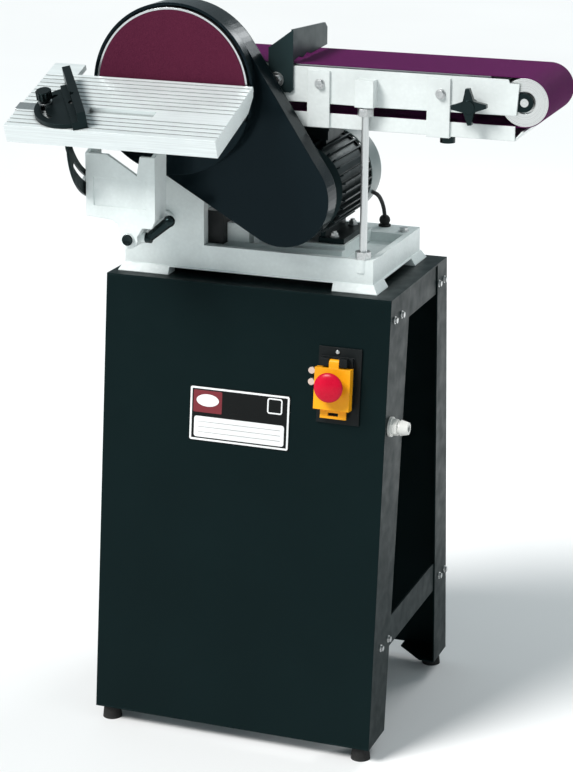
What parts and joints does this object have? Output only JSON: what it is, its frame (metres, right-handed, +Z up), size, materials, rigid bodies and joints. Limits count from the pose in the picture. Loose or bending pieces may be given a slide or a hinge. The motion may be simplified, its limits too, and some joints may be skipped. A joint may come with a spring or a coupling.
{
  "type": "belt and disc sander",
  "caption": "Free-standing belt and disc sander on a sheet-steel stand: tilting table with mitre gauge before the disc, belt arm that swings upright, enclosed belt drive and motor.",
  "frame": {"origin": "bottom centre of the whole machine's box, on the floor under its rubber feet", "axes": "+Z up; -Y to the front, where the disc and the switch face; +X towards the idler end of the belt arm"},
  "size_m": [0.7336, 0.5335, 1.122],
  "materials": {
    "stand_paint": "satin",
    "casting_paint": "hammered satin",
    "black_paint": "semi-gloss",
    "black_cover": "gloss",
    "black_plastic": "satin",
    "grey_paint": "satin",
    "bare_steel": "turned",
    "zinc": "zinc plated",
    "aluminium": "machined",
    "abrasive": "aluminium-oxide grit on cloth",
    "rubber": "matte",
    "yellow_plastic": "satin",
    "red_plastic": "gloss",
    "green_plastic": "gloss",
    "pale_plastic": "matte",
    "plate_print": "printed metal foil",
    "copper": "enamelled winding"
  },
  "bodies": {
    "stand": {"stand_front": "stand_paint", "stand_rear": "stand_paint", "stand_top": "stand_paint", "side_rails": "stand_paint", "rubber_feet": "rubber", "stand_bolts": "zinc", "name_plate": "plate_print", "switch_box": "black_plastic", "indicator_lamps": "pale_plastic", "cable_gland": "pale_plastic", "base_casting": "casting_paint", "mounting_bolts": "zinc", "motor_body": "black_paint", "motor_stator": "copper", "motor_end_shields": "black_paint", "fan_cowl": "grey_paint", "terminal_box": "black_paint", "motor_cable": "rubber", "cable_grommet": "rubber", "v_belt": "rubber", "ball_bearings": "zinc", "belt_cover": "black_cover", "cover_back": "black_cover", "disc_guard": "black_cover", "dust_chute": "black_paint", "table_rod": "bare_steel", "support_post": "zinc", "post_nuts": "zinc"},
    "motor_rotor": {"motor_shaft": "bare_steel", "motor_pulley": "bare_steel", "motor_fan": "black_plastic"},
    "spindle": {"spindle_shaft": "bare_steel", "spindle_pulley": "bare_steel", "disc_plate": "bare_steel", "abrasive_disc": "abrasive", "drive_drum": "aluminium"},
    "arm": {"arm_frame": "casting_paint", "platen": "bare_steel", "lower_guard": "casting_paint", "guard_straps": "casting_paint", "arm_bolts": "zinc", "abrasive_belt": "abrasive"},
    "idler_fork": {"tension_yoke": "black_paint", "idler_axle": "bare_steel"},
    "idler": {"idler_roller": "aluminium"},
    "tracking_knob": {"star_knob": "black_plastic"},
    "guard_screw": {"thumb_screw": "black_plastic"},
    "stop_plate": {"work_stop": "black_paint"},
    "bracket": {"table_bracket": "casting_paint", "bracket_bolts": "zinc"},
    "lever": {"lock_lever": "black_plastic"},
    "table_assembly": {"table": "aluminium", "tilt_quadrant": "black_paint"},
    "mitre_slider": {"mitre_bar": "bare_steel", "mitre_washer": "zinc"},
    "mitre_fence": {"mitre_head": "black_paint"},
    "mitre_lock": {"mitre_knob": "black_plastic"},
    "flap": {"switch_flap": "yellow_plastic"},
    "stop_push": {"stop_button": "red_plastic"},
    "start_push": {"start_button": "green_plastic"}
  },
  "joints": [
    {"name": "arm_pivot", "type": "hinge", "parent": "stand", "child": "arm", "pos_m": [-0.16875, 0.04639, 0.998], "axis": [0, -1, 0], "range_deg": [0, 90]},
    {"name": "spindle_spin", "type": "hinge", "parent": "stand", "child": "spindle", "pos_m": [-0.16875, 0.04639, 0.998], "axis": [0, 1, 0], "continuous": true},
    {"name": "motor_spin", "type": "hinge", "parent": "stand", "child": "motor_rotor", "pos_m": [-0.00775, 0.04639, 0.846], "axis": [0, 1, 0], "continuous": true},
    {"name": "belt_tension", "type": "slide", "parent": "arm", "child": "idler_fork", "axis": [-1, 0, 0], "range_m": [0, 0.01]},
    {"name": "idler_spin", "type": "hinge", "parent": "idler_fork", "child": "idler", "pos_m": [0.33125, 0.04639, 0.998], "axis": [0, 1, 0], "continuous": true},
    {"name": "tracking_turn", "type": "hinge", "parent": "arm", "child": "tracking_knob", "pos_m": [0.25825, -0.05111, 0.992], "axis": [0, 1, 0], "continuous": true},
    {"name": "guard_screw_turn", "type": "hinge", "parent": "arm", "child": "guard_screw", "pos_m": [0.21825, -0.01911, 0.936], "axis": [0, 0, 1], "continuous": true},
    {"name": "work_stop_height", "type": "slide", "parent": "arm", "child": "stop_plate", "axis": [0, 0, 1], "range_m": [-0.001, 0.008]},
    {"name": "bracket_slide", "type": "slide", "parent": "stand", "child": "bracket", "axis": [0, 1, 0], "range_m": [-0.03, 0]},
    {"name": "lever_turn", "type": "hinge", "parent": "bracket", "child": "lever", "pos_m": [-0.18575, -0.16911, 0.79], "axis": [1, 0, 0], "range_deg": [-60, 60]},
    {"name": "table_tilt", "type": "hinge", "parent": "bracket", "child": "table_assembly", "pos_m": [-0.21575, -0.1225, 0.99417], "axis": [1, 0, 0], "range_deg": [-20, 25]},
    {"name": "mitre_slide", "type": "slide", "parent": "table_assembly", "child": "mitre_slider", "axis": [1, 0, 0], "range_m": [-0.08, 0.095]},
    {"name": "mitre_swivel", "type": "hinge", "parent": "mitre_slider", "child": "mitre_fence", "pos_m": [-0.27875, -0.21297, 0.98252], "axis": [0, -0.342, 0.9397], "range_deg": [-62, 28]},
    {"name": "mitre_lock_turn", "type": "hinge", "parent": "mitre_slider", "child": "mitre_lock", "pos_m": [-0.32075, -0.21537, 0.9891], "axis": [0, -0.342, 0.9397], "continuous": true},
    {"name": "switch_flap_hinge", "type": "hinge", "parent": "stand", "child": "flap", "pos_m": [0.08225, -0.10564, 0.61331], "axis": [1, 0, 0], "range_deg": [-110, 0]},
    {"name": "stop_press", "type": "slide", "parent": "flap", "child": "stop_push", "axis": [0, 0.995, -0.1004], "range_m": [0, 0.004], "stiffness_N_per_m": 600},
    {"name": "start_press", "type": "slide", "parent": "stand", "child": "start_push", "axis": [0, 0.995, -0.1004], "range_m": [0, 0.0025], "stiffness_N_per_m": 600}
  ],
  "couplings": [
    {"joint": "motor_spin", "follows": "spindle_spin", "ratio": 0.77778},
    {"joint": "idler_spin", "follows": "spindle_spin", "ratio": 1}
  ]
}
